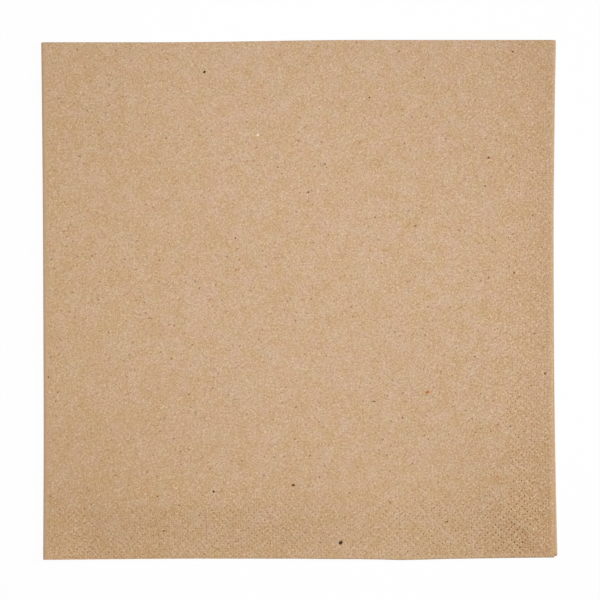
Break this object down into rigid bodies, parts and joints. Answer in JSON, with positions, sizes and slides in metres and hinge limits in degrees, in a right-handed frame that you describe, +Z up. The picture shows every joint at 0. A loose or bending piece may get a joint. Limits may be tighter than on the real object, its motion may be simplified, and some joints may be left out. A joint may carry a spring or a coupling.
{
  "type": "paper napkin",
  "caption": "Square kraft tissue napkin folded in quarters and lying flat, with a border of pressed dots along its open edges.",
  "frame": {"origin": "bottom centre of the napkin's box: under the middle of the folded napkin, on the surface it lies on", "axes": "+Z up, through the four leaves; +Y towards the first fold; +X towards the open side, away from the second fold"},
  "size_m": [0.2004, 0.202, 0.0022],
  "materials": {
    "kraft_tissue": "matte"
  },
  "bodies": {
    "root": {"napkin": "kraft_tissue"}
  },
  "joints": []
}
